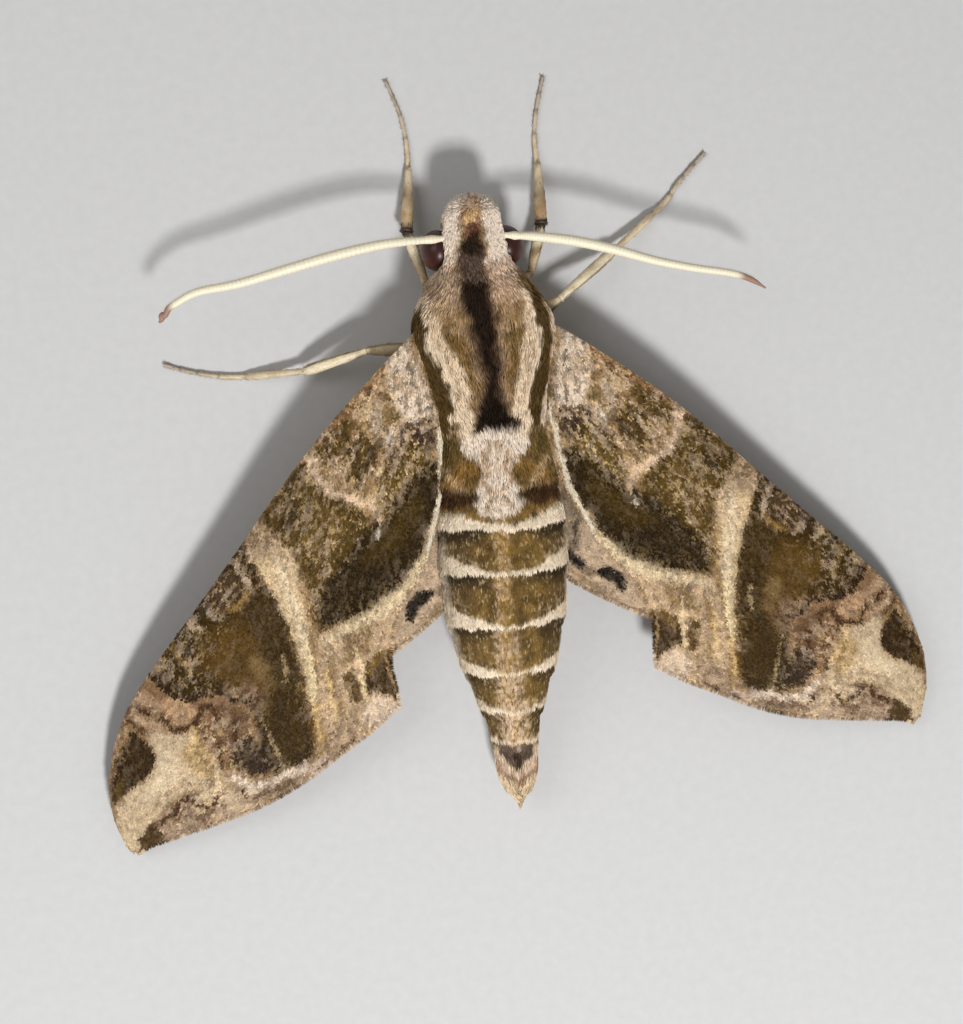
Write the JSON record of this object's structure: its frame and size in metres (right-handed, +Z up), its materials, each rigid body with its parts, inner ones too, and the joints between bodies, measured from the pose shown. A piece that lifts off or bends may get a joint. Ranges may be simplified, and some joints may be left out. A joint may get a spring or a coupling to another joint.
{
  "type": "hawk moth",
  "caption": "Life-size still model of a brown and cream hawk moth at rest, wings half spread, legs on the ground.",
  "frame": {"origin": "middle of the whole outline, on the ground under the moth", "axes": "+Y the way the head points, +X to the moth's right, +Z up"},
  "size_m": [0.0928, 0.082, 0.013],
  "materials": {
    "body_fur": "dense soft scales in tan and dark brown stripes",
    "abdomen_scales": "flat scales in olive brown rings with cream edges",
    "forewing_scales": "fine scales, mottled olive brown and tan",
    "hindwing_scales": "fine scales, ochre brown with a grey tan back edge",
    "leg_scales": "close pale ochre scales",
    "antenna": "cream, finely ringed",
    "eye": "glossy dark maroon, faceted"
  },
  "bodies": {
    "root": {"head": "body_fur", "collar": "body_fur", "thorax": "body_fur", "palp_left": "body_fur", "palp_right": "body_fur", "abdomen_1": "abdomen_scales", "abdomen_2": "abdomen_scales", "abdomen_3": "abdomen_scales", "abdomen_4": "abdomen_scales", "abdomen_5": "abdomen_scales", "abdomen_6": "abdomen_scales", "abdomen_7": "abdomen_scales", "tail_tuft": "abdomen_scales", "eye_left": "eye", "antenna_left": "antenna", "forewing_left": "forewing_scales", "hindwing_left": "hindwing_scales", "eye_right": "eye", "antenna_right": "antenna", "forewing_right": "forewing_scales", "hindwing_right": "hindwing_scales", "femur_fore_left": "leg_scales", "tibia_fore_left": "leg_scales", "foot_fore_left": "leg_scales", "femur_fore_right": "leg_scales", "tibia_fore_right": "leg_scales", "foot_fore_right": "leg_scales", "femur_mid_left": "leg_scales", "tibia_mid_left": "leg_scales", "foot_mid_left": "leg_scales", "femur_mid_right": "leg_scales", "tibia_mid_right": "leg_scales", "foot_mid_right": "leg_scales", "femur_hind_left": "leg_scales", "tibia_hind_left": "leg_scales", "foot_hind_left": "leg_scales", "femur_hind_right": "leg_scales", "tibia_hind_right": "leg_scales", "foot_hind_right": "leg_scales"}
  },
  "joints": []
}
